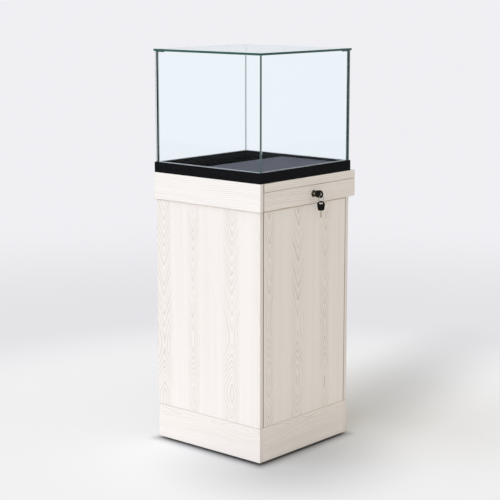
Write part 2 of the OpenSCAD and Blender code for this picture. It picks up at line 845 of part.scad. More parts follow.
// Plug with its keyway, and the square that carries the cam
module lock_plug() {
    plug_len = cam_y - lock_face_y;
    blade_in = blade_len - blade_show;
    screw_bore = cam_screw_grip + cut;
    color(nickel) difference() {
        from_front(lock_face_y) union() {
            cylinder(d = plug_d, h = plug_len);
            translate([-cam_square / 2, -cam_square / 2, 0])
                cube([cam_square, cam_square, plug_len + cam_t]);
        }
        block([lock_x - blade_t / 2 - keyway_play, lock_x + blade_t / 2 + keyway_play],
            [lock_face_y - cut, lock_face_y + blade_in],
            [lock_z - blade_w / 2 - keyway_play, lock_z + blade_w / 2 + keyway_play]);
        from_front(cam_y - screw_bore)
            cylinder(d = cam_screw_d + 2 * hole_fit, h = screw_bore + cam_t + cut);
    }
}

// Flat cam, pointing left when unlocked; it turns up behind the strike plate
module lock_cam() {
    tip_w = cam_w * 0.7;
    tip_ease = 1;
    color(steel) from_front(cam_y) difference() {
        linear_extrude(cam_t) difference() {
            union() {
                circle(d = cam_w);
                translate([tip_ease - cam_reach, -tip_w / 2])
                    square([cam_reach - tip_ease, tip_w]);
                translate([-cam_reach, tip_ease - tip_w / 2])
                    square([cam_reach, tip_w - 2 * tip_ease]);
            }
            square(cam_square + 2 * hole_fit, center = true);
        }
    }
}

module cam_screw() {
    color(steel) from_front(cam_y + cam_t) {
        cylinder(d = cam_screw_head_d, h = cam_screw_head_t);
        translate([0, 0, -cam_t - cam_screw_grip])
            cylinder(d = cam_screw_d, h = cam_t + cam_screw_grip);
    }
}

// ---- keys ----

// Slab of a key's head, drawn in from its outline by inset: u = 0 at the blade, and the
// slotted end at u = bow_len is nearly a half circle
module bow_slab(inset, t) {
    neck_r = 6;
    neck_w = 0.82 * bow_w;
    end_r = bow_w / 2 - 0.8;
    linear_extrude(t, center = true) for (s = side_signs()) {
        translate([neck_r, s * (neck_w / 2 - neck_r)]) circle(neck_r - inset, $fn = 32);
        translate([bow_len - end_r, s * (bow_w / 2 - end_r)]) circle(end_r - inset, $fn = 48);
    }
}

// Key head with bevelled edges, a slot and a socket for its blade, along +X with its flat
// sides to +Z and -Z
module key_bow() {
    difference() {
        hull() {
            bow_slab(0, bow_t - 2 * bow_bevel);
            bow_slab(bow_bevel, bow_t);
        }
        translate([slot_u - slot_h / 2, -slot_w / 2 + slot_h / 2, -bow_t])
            cube([slot_h, slot_w - slot_h, 2 * bow_t]);
        for (s = side_signs())
            translate([slot_u, s * (slot_w - slot_h) / 2, -bow_t])
                cylinder(d = slot_h, h = 2 * bow_t, $fn = 32);
        translate([-cut, -blade_w / 2, -blade_t / 2])
            cube([key_socket + cut, blade_w, blade_t]);
    }
}
// Blade with its cuts; its tang sits in the head's socket
module blade() {
    first_cut = 3.5;
    cut_step = 4.2;
    cut_depths = [1.2, 0.8, 1.6, 1, 1.4];
    groove_off = 0.8;
    difference() {
        translate([-blade_len, -blade_w / 2, -blade_t / 2])
            cube([blade_len + key_socket, blade_w, blade_t]);
        for (i = [0 : len(cut_depths) - 1])
            translate([-blade_len + first_cut + i * cut_step, blade_w / 2 - cut_depths[i], 0])
                rotate([0, 0, 45]) translate([0, 0, -blade_t])
                    cube([blade_w, blade_w, 2 * blade_t]);
        for (s = side_signs()) {
            translate([-blade_len, s * blade_w / 2, 0]) rotate([0, 0, 45])
                cube([blade_w / 3, blade_w / 3, 2 * blade_t], center = true);
            translate([-blade_len - cut, -groove_off - blade_groove_w / 2,
                    s * (blade_t - blade_groove_d) - blade_t / 2])
                cube([blade_len + cut, blade_groove_w, blade_t]);
        }
    }
}
// The key in the lock lies in the upright plane along the lock's axis
module in_lock() {
    translate([lock_x, lock_face_y - blade_show, lock_z]) rotate([90, 0, -90]) children();
}
module key_head() color(key_black) in_lock() key_bow();
module key_blade() color(steel) in_lock() blade();

module key_ring() {
    color(steel) translate([lock_x, slot_y, ring_z]) rotate([90, 0, 0])
        rotate_extrude($fn = 64) translate([ring_r, 0]) circle(d = ring_wire, $fn = 24);
}

// The spare key hangs from the ring, slotted end up, turned towards the left
module hanging() {
    translate([lock_x, slot_y, spare_top_z - bow_len]) rotate([0, -90, spare_turn]) children();
}
module spare_key_head() color(key_black) hanging() key_bow();
module spare_key_blade() color(steel) hanging() blade();

// ---- glass hood ----

module glass_side(side) {
    x0 = side < 0 ? -body_x : glass_in_x;
    color(glass_tint) board([x0, x0 + glass_t], [-body_y, body_y], [z_glass, z_top_pane],
        glass_bevel);
}
module glass_left() glass_side(-1);
module glass_right() glass_side(1);
module glass_cross(side) {
    y0 = side < 0 ? -body_y : glass_in_y;
    color(glass_tint) board([-glass_in_x, glass_in_x], [y0, y0 + glass_t],
        [z_glass, z_top_pane], glass_bevel);
}
module glass_front() glass_cross(-1);
module glass_back() glass_cross(1);
module glass_top() {
    color(glass_tint) board([-body_x - top_pane_proud, body_x + top_pane_proud],
        [-body_y - top_pane_proud, body_y + top_pane_proud],
        [z_top_pane, z_top_pane + glass_t], glass_bevel);
}

// Angles under the top pane, in the left back corner and the right front one
module glass_connectors() {
    color(steel) for (side = side_signs())
        mirror([side > 0 ? 0 : 1, 0, 0]) mirror([0, side > 0 ? 1 : 0, 0])
            translate([glass_in_x, glass_in_y, z_top_pane - connector_h])
                linear_extrude(connector_h) polygon([[0, 0], [-connector_len, 0],
                    [-connector_len, -connector_w], [-connector_w, -connector_w],
                    [-connector_w, -connector_len], [0, -connector_len]]);
}

plinth_front();
plinth_back();
plinth_left();
plinth_right();
plinth_corner_blocks();
plinth_battens();
glides();
bottom_board();
top_board();
side_panel_left();
side_panel_right();
front_panel();
back_panel();
joint_dowels();
header_left();
header_right();
header_outer_right();
header_back();
header_top_rail();
header_screws();
strike_plate();
runner_outer_left();
runner_outer_right();
runner_middle_left();
runner_middle_right();
runner_inner_left();
runner_inner_right();
outer_runner_balls();
inner_runner_balls();
base_rail_front();
base_rail_back();
base_rail_left();
base_rail_right();
glass_seat_strip();
deck_bearer();
deck_plate();
well_tray();
drawer_front();
drawer_side_left();
drawer_side_right();
drawer_back();
drawer_bottom();
drawer_brackets();
drawer_screws();
lock_housing();
lock_nut();
lock_plug();
lock_cam();
cam_screw();
key_head();
key_blade();
key_ring();
spare_key_head();
spare_key_blade();
glass_front();
glass_back();
glass_left();
glass_right();
glass_top();
glass_connectors();
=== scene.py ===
"""Finishes of a pedestal display case: whitewashed ash boards, a black base frame with a grey
deck, a glass hood, and a bronze cam lock with two black-headed keys.

Metres, in the part's own frame: X to the right along the drawer front, Y to the back, Z up,
with the origin on the floor under the middle of the body.
"""

import math

import bpy
import numpy as np
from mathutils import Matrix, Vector


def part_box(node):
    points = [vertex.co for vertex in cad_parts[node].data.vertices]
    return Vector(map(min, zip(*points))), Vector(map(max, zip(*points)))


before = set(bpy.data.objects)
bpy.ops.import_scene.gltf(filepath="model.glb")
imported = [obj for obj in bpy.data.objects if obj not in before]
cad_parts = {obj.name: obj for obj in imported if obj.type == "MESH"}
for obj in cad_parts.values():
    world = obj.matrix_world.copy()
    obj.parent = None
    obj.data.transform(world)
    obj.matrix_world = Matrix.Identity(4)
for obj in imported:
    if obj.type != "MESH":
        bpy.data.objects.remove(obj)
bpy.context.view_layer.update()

# ---- sizes read from the frame ----

SIDE_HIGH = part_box("side_panel_left")[1]
PLINTH_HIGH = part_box("plinth_left")[1]
HEADER_LOW, HEADER_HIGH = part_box("header_left")
DRAWER_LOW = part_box("drawer_front")[0]
PANEL_LOW, PANEL_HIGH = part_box("front_panel")
GLASS_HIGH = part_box("glass_left")[1]
CROSS_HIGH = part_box("glass_front")[1]
TOP_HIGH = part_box("glass_top")[1]

# ---- painted edges and lines: how deep the edges are, and half the width of the lines ----

EDGE_DEPTH = 0.0009
UPRIGHT_BAND = 0.0012
SEAM_HALF = 0.0025
RIGHT_SEAM_HALF = 0.00175
FOOT_LINE_HALF = 0.0012
HEAD_LINE_HALF = 0.0009
# painted shade: a brown band at the top of the front and back panels is the joint line and also the
# shade under the header's overhang
UNDER_HEAD_SHADE_HALF = 0.0042
JOINT_HALF = 0.0050
SEAM_CORE = 0.6  # the share of the half width where a line is at its full darkness

# ---- camera ----

CAMERA_AT = Vector((-3.9894, -3.4634, 1.6996))
CAMERA_YAW = 0.8538
CAMERA_PITCH = 0.1841
CAMERA_LENS_MM = 104.53
SENSOR_MM = 36.0

# ---- colours, linear ----

BLACK = (0.0, 0.0, 0.0)

ASH_PALE = (0.918, 0.856, 0.787)
ASH_LINE = (0.558, 0.475, 0.380)
ASH_BLUSH = (0.887, 0.817, 0.745)
ASH_EDGE = (0.83, 0.755, 0.69)
RAIL_PALE = (0.945, 0.897, 0.825)
RAIL_BLUSH = (0.920, 0.865, 0.795)
INNER_PALE = (0.62, 0.50, 0.35)
INNER_LINE = (0.44, 0.32, 0.20)
INNER_BLUSH = (0.56, 0.44, 0.30)
SEAM_BROWN = (0.20, 0.135, 0.09)
# brown of the level joint lines, and of the painted shade under the header
LEVEL_LINE_AND_SHADE_BROWN = (0.60, 0.48, 0.39)

GLASS_TINT = (0.985, 0.996, 1.0)
GLASS_SHADOW = (0.95, 0.965, 0.965)
GLASS_JOINT = (0.25, 0.30, 0.30)
TOP_EDGE = (0.014, 0.080, 0.060)
UPRIGHT_EDGE = (0.100, 0.155, 0.150)

FLOOR_PALE = (0.985, 0.984, 0.967)
FLOOR_FAR = (0.93, 0.93, 0.945)
FLOOR_BAND = (0.775, 0.772, 0.80)
BACKDROP = (0.87, 0.868, 0.90)
BEHIND_GLASS = (0.875, 0.92, 0.965)
SKY_IN_GLOSS = (0.80, 0.84, 0.88)
FLOOR_IN_GLOSS = (0.030, 0.035, 0.040)
WORLD_LIGHT = (1.0, 0.945, 0.84)

# ---- floor and world ----

FLOOR_RADIUS = 30.0
FLOOR_ROUGHNESS = 0.85

# Distances from the middle where one look of the floor starts and ends its change to the next
FAR_TO_BAND = (0.9, 2.0)
LIT_TO_GLOW = (0.8, 2.0)
BAND_TO_BACKDROP = (2.1, 5.0)

# Painted shadows in the floor's colour: the distances where each starts and ends to fade, and how
# pale the floor is at its start
FOOT_SHADE = (-0.045, 0.05, 0.13)
FRONT_SHADE = (0.08, 0.58, 0.70)
RIGHT_SHADE = (0.0, 0.42, 0.73)
FRONT_SHADE_AT = (-0.15, -0.27, 0.0)
RIGHT_SHADE_AT = (0.85, -0.03)
RIGHT_SHADE_SLOPE = 0.28
RIGHT_SHADE_SQUEEZE = 0.30

WORLD_STRENGTH = 0.53


# ---- node helpers ----


class Nodes:
    """Adds nodes to one tree. A value that is a socket is linked, any other is set."""

    def __init__(self, tree):
        self.tree = tree

    def add(self, kind, settings=None, **inputs):
        """A new node. Its inputs go by name, with underscores for spaces."""
        made = self.tree.nodes.new(kind)
        for name, value in (settings or {}).items():
            setattr(made, name, value)
        for name, value in inputs.items():
            self.plug(made.inputs[name.replace("_", " ")], value)
        return made

    def plug(self, socket, value):
        if isinstance(value, bpy.types.NodeSocket):
            self.tree.links.new(value, socket)
        else:
            socket.default_value = value

    def plug_all(self, sockets, values):
        for socket, value in zip(sockets, values):
            self.plug(socket, value)

    def math(self, operation, *values):
        made = self.add("ShaderNodeMath", {"operation": operation})
        self.plug_all(made.inputs, values)
        return made.outputs[0]

    def vector(self, x, y, z):
        return self.add("ShaderNodeCombineXYZ", X=x, Y=y, Z=z).outputs[0]

    def stretch(self, across, between, along, scales):
        """Coordinates for noise: across and along, each times its scale, and a value between."""
        return self.vector(self.math("MULTIPLY", across, scales[0]), between,
                           self.math("MULTIPLY", along, scales[1]))

    def noise(self, vector, scale=1.0, detail=2.0, roughness=0.5):
        made = self.add("ShaderNodeTexNoise", Vector=vector, Scale=scale, Detail=detail,
                        Roughness=roughness)
        return made.outputs["Fac"]

    def distance(self, vector, place):
        made = self.add("ShaderNodeVectorMath", {"operation": "DISTANCE"})
        self.plug_all(made.inputs, (vector, place))
        return made.outputs["Value"]

    def fade(self, value, start, end, low=0.0, high=1.0):
        """Smooth step of value from low at start to high at end."""
        made = self.add("ShaderNodeMapRange", {"interpolation_type": "SMOOTHSTEP"}, Value=value,
                        From_Min=start, From_Max=end, To_Min=low, To_Max=high)
        return made.outputs[0]

    def mix(self, amount, a, b):
        """The colour that lies the given amount of the way from a to b."""
        made = self.add("ShaderNodeMix", {"data_type": "RGBA"})
        self.plug(made.inputs["Factor"], amount)
        colours = [s for s in made.inputs if s.type == "RGBA"]
        for socket, value in zip(colours, (a, b)):
            self.plug(socket, value if isinstance(value, bpy.types.NodeSocket) else (*value, 1.0))
        return [s for s in made.outputs if s.type == "RGBA"][0]

    def mix_shader(self, amount, a, b):
        made = self.add("ShaderNodeMixShader")
        self.plug_all(made.inputs, (amount, a, b))
        return made.outputs[0]


def group(name, inputs, outputs):
    """A shader node group: its tree, nodes helper, input sockets by name, and output node. Each
    input is (name, type, default)."""
    tree = bpy.data.node_groups.new(name, "ShaderNodeTree")
    for label, kind, default in inputs:
        made = tree.interface.new_socket(label, in_out="INPUT", socket_type=kind)
        if default is not None:
            made.default_value = default
    for label, kind in outputs:
        tree.interface.new_socket(label, in_out="OUTPUT", socket_type=kind)
    nodes = Nodes(tree)
    sources = nodes.add("NodeGroupInput").outputs
    sink = nodes.add("NodeGroupOutput")
    return tree, nodes, sources, sink


FLOAT = "NodeSocketFloat"
VECTOR = "NodeSocketVector"


def material(name, base, roughness, metallic=0.0, **plain):
    """A material with one Principled shader, its nodes helper and that shader."""
    made = bpy.data.materials.new(name)
    made.use_nodes = True
    nodes = Nodes(made.node_tree)
    shader = made.node_tree.nodes["Principled BSDF"]
    nodes.plug(shader.inputs["Base Color"], (*base, 1.0))
    nodes.plug(shader.inputs["Roughness"], roughness)
    nodes.plug(shader.inputs["Metallic"], metallic)
    for label, value in plain.items():
        nodes.plug(shader.inputs[label.replace("_", " ")], value)
    return made, nodes, shader


def object_place(nodes):
    """Object coordinates, whole and as X, Y and Z."""
    place = nodes.add("ShaderNodeTexCoord").outputs["Object"]
    return place, nodes.add("ShaderNodeSeparateXYZ", Vector=place).outputs


def bump(nodes, height, distance):
    return nodes.add("ShaderNodeBump", Strength=1.0, Distance=distance,
                     Height=height).outputs["Normal"]


# ---- wood ----

# Growth rings, as a finish has them unless it says otherwise
LEAF = 0.17  # width of one leaf of veneer
EYE = 0.25  # height of the eye, where the rings close
ARCH = 0.042  # swing of a ring to the side, which sets how tall the arches are
STEP = 0.0125  # from one ring to the next
SWAY = 0.02  # slow drift of a leaf's middle
GRAIN_STRENGTH = 0.8

# Growth rings, the same in every finish
POINT = 0.004  # how blunt an arch is
EYE_REACH = 0.21  # from the eye to where the arches are evenly spaced
UPPER_SLOPE = 0.36
UPPER_ROUND = 0.05
LEAF_RISE = -0.040  # from one leaf's eye to the next one's
LEAF_SEED = 3.7
ARCH_FADE = (0.20, 0.50, 0.6)  # leaf widths from the middle, start and end, and what is left
LINE_FADE = (0.14, 0.27, 0.07)  # the same, for how strong the lines are
UNEVEN_STEPS = 1.1  # steps by which noise moves a ring
RAGGED_STEPS = 0.22
LINE_POWER = 3.2
LINE_END = 0.90
RING_STRENGTH = (0.36, 0.60, 0.45)  # noise from and to, and how strong the faintest ring is
BAND_FADE = (0.34, 0.66)
PORES = (0.56, 0.72, 0.0, 0.16)
BAND_IN_TONE = 0.7
FIBRE_IN_TONE = 0.3

# Noise scales, across the board (and through it, for the finest two) and along it
DRIFT_SCALES = (8.0, 2.6)
UNEVEN_SCALES = (26.0, 6.0)
WAVE_SCALES = (14.0, 17.0)
RAGGED_SCALES = (240.0, 26.0)
RING_SCALES = (0.83, 3.0)  # the first is for one ring, not for a metre
FIBRE_SCALES = (620.0, 12.0)
BAND_SCALES = (48.0, 0.9)


def make_ash_grain():
    """Growth rings of flat-sawn ash. In each leaf a ring shows wherever the distance from the
    leaf's middle, rounded off at the point, less a swing along the board, is a whole number of
    steps. The swing is a raised cosine round the eye, where the rings close, and above that a
    hyperbola's arm, which gives evenly spaced points. Odd leaves are shifted by a warp and can
    be narrower."""
    tree, n, ins, out = group(
        "ash_grain",
        [("Across", FLOAT, 0.0), ("Along", FLOAT, 0.0), ("Depth", FLOAT, 0.0),
         ("Centre", FLOAT, 0.0), ("Leaf", FLOAT, LEAF), ("Eye", FLOAT, EYE),
         ("Arch", FLOAT, ARCH), ("Step", FLOAT, STEP), ("Sway", FLOAT, SWAY),
         ("Wave", FLOAT, 0.0), ("Warp", FLOAT, 0.0), ("Narrow", FLOAT, 1.0), ("Seed", FLOAT, 0.0)],
        [("Lines", FLOAT), ("Tone", FLOAT), ("Height", FLOAT)])
    across, along, depth, seed = ins["Across"], ins["Along"], ins["Depth"], ins["Seed"]
    width = ins["Leaf"]

    # Which leaf, and where in it
    centred = n.math("SUBTRACT", across, ins["Centre"])
    half_turn = n.math("SINE", n.math("MULTIPLY", n.math("DIVIDE", centred, width), math.pi / 2))
    warp = n.math("MULTIPLY", n.math("MULTIPLY", half_turn, half_turn), ins["Warp"])
    shifted = n.math("SUBTRACT", centred, warp)
    leaf = n.math("ROUND", n.math("DIVIDE", shifted, width))
    odd = n.math("PINGPONG", leaf, 1.0)
    share = n.math("SUBTRACT", 1.0, n.math("MULTIPLY", odd, n.math("SUBTRACT", 1.0, ins["Narrow"])))
    u = n.math("DIVIDE", n.math("SUBTRACT", shifted, n.math("MULTIPLY", leaf, width)), share)
    leaf_seed = n.math("MULTIPLY_ADD", leaf, LEAF_SEED, seed)
    slow = n.stretch(across, leaf_seed, along, DRIFT_SCALES)
    drift = n.math("SUBTRACT", n.noise(slow), 0.5)
    u = n.math("MULTIPLY_ADD", drift, ins["Sway"], u)
    beside = n.math("ABSOLUTE", u)

    def toward_sides(start, end, low):
        """1 in the leaf's middle and low beside it. Start and end are in leaf widths."""
        return n.fade(beside, n.math("MULTIPLY", width, start), n.math("MULTIPLY", width, end),
                      1.0, low)

    # The swing, and how many rings lie inside this place
    from_eye = n.math("SUBTRACT", along, n.math("MULTIPLY_ADD", leaf, LEAF_RISE, ins["Eye"]))
    turn = n.math("MULTIPLY", n.math("MINIMUM", from_eye, EYE_REACH), math.pi / EYE_REACH)
    above = n.math("MAXIMUM", n.math("SUBTRACT", from_eye, EYE_REACH), 0.0)
    arm = n.math("SQRT", n.math("MULTIPLY_ADD", above, above, UPPER_ROUND * UPPER_ROUND))
    rise = n.math("MULTIPLY_ADD", arm, UPPER_SLOPE / ARCH, 1.0 - UPPER_ROUND * UPPER_SLOPE / ARCH)
    arch = n.math("MULTIPLY", ins["Arch"], toward_sides(*ARCH_FADE))
    swing = n.math("MULTIPLY", n.math("ADD", n.math("COSINE", turn), rise), arch)
    near = n.math("SQRT", n.math("MULTIPLY_ADD", u, u, POINT * POINT))
    rings = n.math("DIVIDE", n.math("SUBTRACT", near, swing), ins["Step"])

    # Uneven spacing, waves and ragged edges
    uneven = n.stretch(across, leaf_seed, along, UNEVEN_SCALES)
    rings = n.math("MULTIPLY_ADD", n.noise(uneven), UNEVEN_STEPS, rings)
    wavy = n.stretch(across, leaf_seed, along, WAVE_SCALES)
    rings = n.math("MULTIPLY_ADD", n.noise(wavy, detail=1.0), ins["Wave"], rings)
    through = n.math("MULTIPLY", depth, RAGGED_SCALES[0])
    ragged = n.stretch(across, through, along, RAGGED_SCALES)
    rings = n.math("MULTIPLY_ADD", n.noise(ragged), RAGGED_STEPS, rings)

    # One line for each ring, some fainter than others
    ring = n.math("FRACT", rings)
    line = n.math("MULTIPLY", n.math("POWER", ring, LINE_POWER),
                  n.fade(ring, LINE_END, 1.0, 1.0, 0.0))
    which = n.stretch(n.math("FLOOR", rings), leaf_seed, along, RING_SCALES)
    strength = n.fade(n.noise(which, detail=1.0), *RING_STRENGTH)
    strength = n.math("MULTIPLY", strength, toward_sides(*LINE_FADE))
    lines = n.math("MULTIPLY", line, strength)

    # Fibres, their pores, and broad bands of tone
    through = n.math("MULTIPLY", depth, FIBRE_SCALES[0])
    fibre = n.noise(n.stretch(across, through, along, FIBRE_SCALES), detail=3.0, roughness=0.6)
    band = n.fade(n.noise(n.stretch(across, seed, along, BAND_SCALES), detail=3.0), *BAND_FADE)
    tone = n.math("MULTIPLY_ADD", band, BAND_IN_TONE, n.math("MULTIPLY", fibre, FIBRE_IN_TONE))

    n.plug(out.inputs["Lines"], n.math("MAXIMUM", lines, n.fade(fibre, *PORES)))
    n.plug(out.inputs["Tone"], tone)
    n.plug(out.inputs["Height"], n.math("SUBTRACT", fibre, lines))
    return tree


ASH_GRAIN = make_ash_grain()


def seam_mask(n, axes, seams):
    """1 along each seam, a line at one place on an axis, and 0 away from it. Each seam is
    (axis, place, half its width)."""
    mask = 0.0
    for axis, place, half_width in seams:
        away = n.math("ABSOLUTE", n.math("SUBTRACT", axes[axis], place))
        dark = n.fade(away, half_width * SEAM_CORE, half_width, 1.0, 0.0)
        mask = n.math("MAXIMUM", mask, dark)
    return mask


def beyond_mask(n, axes, limits):
    """1 where the distance from the middle along an axis is past its limit, less the depth of an
    edge, and 0 elsewhere. Each limit is (axis, half size)."""
    mask = 0.0
    for axis, half in limits:
        past = n.math("GREATER_THAN", n.math("ABSOLUTE", axes[axis]), half - EDGE_DEPTH)
        mask = n.math("MAXIMUM", mask, past)
    return mask


ASH_ROUGHNESS = (0.46, 0.62)
ASH_RELIEF = 0.0001


def ash(name, across, along, centre=0.0, leaf=LEAF, eye=EYE, arch=ARCH, step=STEP, sway=SWAY,
        wave=0.0, warp=0.0, narrow=1.0, seed=0.0, pale=ASH_PALE, line=ASH_LINE, blush=ASH_BLUSH,
        strength=GRAIN_STRENGTH, edges=(), seams=(), seam_face=(), levels=()):
    """Whitewashed ash whose grain runs along one axis, with its leaves side by side across. Plain
    edge bands lie past the given half sizes, dark seams upright, thin brown lines level. A seam
    face keeps the seams to surfaces past a half size."""
    made, n, shader = material(name, pale, 0.5, Coat_Weight=0.10, Coat_Roughness=0.4)
    _, axes = object_place(n)
    depth_axis = ({"X", "Y", "Z"} - {across, along}).pop()
    grain = n.add("ShaderNodeGroup", {"node_tree": ASH_GRAIN}, Across=axes[across],
                  Along=axes[along], Depth=axes[depth_axis], Centre=centre, Leaf=leaf, Eye=eye,
                  Arch=arch, Step=step, Sway=sway, Wave=wave, Warp=warp, Narrow=narrow,
                  Seed=seed).outputs
    toned = n.mix(grain["Tone"], pale, blush)
    colour = n.mix(n.math("MULTIPLY", grain["Lines"], strength), toned, line)
    if edges:
        colour = n.mix(beyond_mask(n, axes, edges), colour, ASH_EDGE)
    # level lines: brown joint lines, and on the front and back panels also painted shade under the
    # header
    if levels:
        colour = n.mix(seam_mask(n, axes, levels), colour, LEVEL_LINE_AND_SHADE_BROWN)
    if seams:
        dark = seam_mask(n, axes, seams)
        if seam_face:
            dark = n.math("MULTIPLY", dark, beyond_mask(n, axes, seam_face))
        colour = n.mix(dark, colour, SEAM_BROWN)
    n.plug(shader.inputs["Base Color"], colour)
    n.plug(shader.inputs["Roughness"], n.fade(grain["Lines"], 0.0, 1.0, *ASH_ROUGHNESS))
    n.plug(shader.inputs["Normal"], bump(n, grain["Height"], ASH_RELIEF))
    return made


def rail_ash(name, along, seed, strength, **more):
    """A level board with almost straight, wavy fine grain: one leaf, wider than the board, with
    its middle above it."""
    return ash(name, "Z", along, centre=0.70, leaf=4.0, arch=0.004, step=0.0075, sway=0.012,
               wave=1.6, strength=strength, seed=seed, **more)


def plinth_ash(name, along, eye, seed, strength, **more):
    """A level board of the plinth, with long low arches."""
    return ash(name, "Z", along, centre=0.118, leaf=0.34, eye=eye, arch=0.012, step=0.008,
               wave=0.8, strength=strength, seed=seed, **more)


def inner_ash(name, across, along, seed):
    """Unfinished inner wood, warmer than the outer boards."""
    return ash(name, across, along, seed=seed, pale=INNER_PALE, line=INNER_LINE,
               blush=INNER_BLUSH)


# ---- paint, metal, plastic and rubber ----

SPECKLE_SPREAD = (0.35, 0.65)
COARSE_SCALE = 0.12
FINE_SHARE = 0.6
COARSE_SHARE = 0.4
BRUSH_SPREAD = (0.3, 0.7)
BRUSH_SCALE_ALONG = 40.0
BRUSH_SCALE_ACROSS = 1600.0
BRUSH_RELIEF = 0.00001


def make_speckle():
    """Fine even unevenness: two sizes of noise, as a value round 0.5."""
    tree, n, ins, out = group("speckle", [("Vector", VECTOR, None), ("Size", FLOAT, 0.001)],
                              [("Value", FLOAT)])
    inverse = n.math("DIVIDE", 1.0, ins["Size"])
    fine = n.noise(ins["Vector"], inverse)
    coarse = n.noise(ins["Vector"], n.math("MULTIPLY", inverse, COARSE_SCALE))
    n.plug(out.inputs["Value"],
           n.math("MULTIPLY_ADD", fine, FINE_SHARE, n.math("MULTIPLY", coarse, COARSE_SHARE)))
    return tree


SPECKLE = make_speckle()


def speckled(name, dark, light, roughness, size, relief, metallic=0.0, **plain):
    """A material that varies between two colours and two roughnesses by fine speckle."""
    made, n, shader = material(name, light, roughness[0], metallic, **plain)
    place, _ = object_place(n)
    value = n.add("ShaderNodeGroup", {"node_tree": SPECKLE}, Vector=place,
                  Size=size).outputs["Value"]
    n.plug(shader.inputs["Base Color"], n.mix(n.fade(value, *SPECKLE_SPREAD), dark, light))
    n.plug(shader.inputs["Roughness"], n.fade(value, *SPECKLE_SPREAD, *roughness))
    n.plug(shader.inputs["Normal"], bump(n, value, relief))
    return made


def brushed(name, dark, light, roughness, along, metallic=1.0):
    """Metal drawn along one axis: noise stretched along it."""
    made, n, shader = material(name, light, roughness[0], metallic)
    _, axes = object_place(n)
    drawn = n.vector(*[n.math("MULTIPLY", axes[axis],
                              BRUSH_SCALE_ALONG if axis == along else BRUSH_SCALE_ACROSS)
                       for axis in ("X", "Y", "Z")])
    value = n.noise(drawn, detail=3.0)
    n.plug(shader.inputs["Base Color"], n.mix(n.fade(value, *BRUSH_SPREAD), dark, light))
    n.plug(shader.inputs["Roughness"], n.fade(value, *BRUSH_SPREAD, *roughness))
    n.plug(shader.inputs["Normal"], bump(n, value, BRUSH_RELIEF))
    return made


# ---- glass ----


def clear_glass(name, edge_colour, edges=(), joints=()):
    """Clear float glass, open to shadow and diffuse rays so that what stands inside is lit. Its
    polished edges, at the given half sizes on each axis, show from outside the dark green of the
    glass's length, and its glued joints are thin grey lines on the inner faces."""
    made, n, shader = material(name, GLASS_TINT, 0.0, Transmission_Weight=1.0, IOR=1.2)
    _, axes = object_place(n)
    path = n.add("ShaderNodeLightPath").outputs
    passes = n.math("MAXIMUM", path["Is Shadow Ray"], path["Is Diffuse Ray"])
    clear = n.add("ShaderNodeBsdfTransparent", Color=(*GLASS_SHADOW, 1.0))
    surface = n.mix_shader(passes, shader.outputs[0], clear.outputs[0])

    edge = n.add("ShaderNodeBsdfPrincipled", Base_Color=(*edge_colour, 1.0), Roughness=0.18,
                 Coat_Weight=0.5, Coat_Roughness=0.05)
    outside = n.math("SUBTRACT", 1.0, n.add("ShaderNodeNewGeometry").outputs["Backfacing"])
    on_edge = n.math("MULTIPLY", beyond_mask(n, axes, edges), outside)
    surface = n.mix_shader(on_edge, surface, edge.outputs[0])

    if joints:
        glue = n.add("ShaderNodeBsdfPrincipled", Base_Color=(*GLASS_JOINT, 1.0), Roughness=0.4)
        inside = n.math("LESS_THAN", n.math("ABSOLUTE", axes["Y"]), -CROSS_HIGH[1] + EDGE_DEPTH)
        on_joint = n.math("MULTIPLY", seam_mask(n, axes, joints), inside)
        surface = n.mix_shader(on_joint, surface, glue.outputs[0])
    n.plug(made.node_tree.nodes["Material Output"].inputs["Surface"], surface)
    return made


# ---- floor, light and camera ----


def disc(name, radius, rings=48, spokes=96):
    """A flat round floor at height 0: radii grow as the square of the ring's share."""
    share = np.linspace(0.0, 1.0, rings + 1)[1:] ** 2
    angle = np.linspace(0.0, 2 * math.pi, spokes, endpoint=False)
    x = radius * np.outer(share, np.cos(angle))
    y = radius * np.outer(share, np.sin(angle))
    points = np.vstack([[0.0, 0.0, 0.0], np.stack([x, y, 0 * x], -1).reshape(-1, 3)])
    first = 1 + np.arange(spokes)
    fan = np.stack([np.zeros(spokes, int), first, np.roll(first, -1)], -1)
    grid = 1 + np.arange(rings * spokes).reshape(rings, spokes)
    inner, outer = grid[:-1], grid[1:]
    quads = np.stack([inner, outer, np.roll(outer, -1, 1), np.roll(inner, -1, 1)], -1)
    mesh = bpy.data.meshes.new(name)
    mesh.from_pydata(points.tolist(), [], fan.tolist() + quads.reshape(-1, 4).tolist())
    made = bpy.data.objects.new(name, mesh)
    bpy.context.collection.objects.link(made)
    return made


def by_ray(n, seen, gloss):
    """Background colour for the eye, for reflections and for what is seen through glass, and 1
    for all three kinds of ray."""
    path = n.add("ShaderNodeLightPath").outputs
    mirrored = n.mix(path["Is Glossy Ray"], seen, gloss)
    shown = n.mix(path["Is Transmission Ray"], mirrored, BEHIND_GLASS)
    any_of = n.math("MAXIMUM", n.math("MAXIMUM", path["Is Camera Ray"], path["Is Glossy Ray"]),
                    path["Is Transmission Ray"])
    return shown, any_of


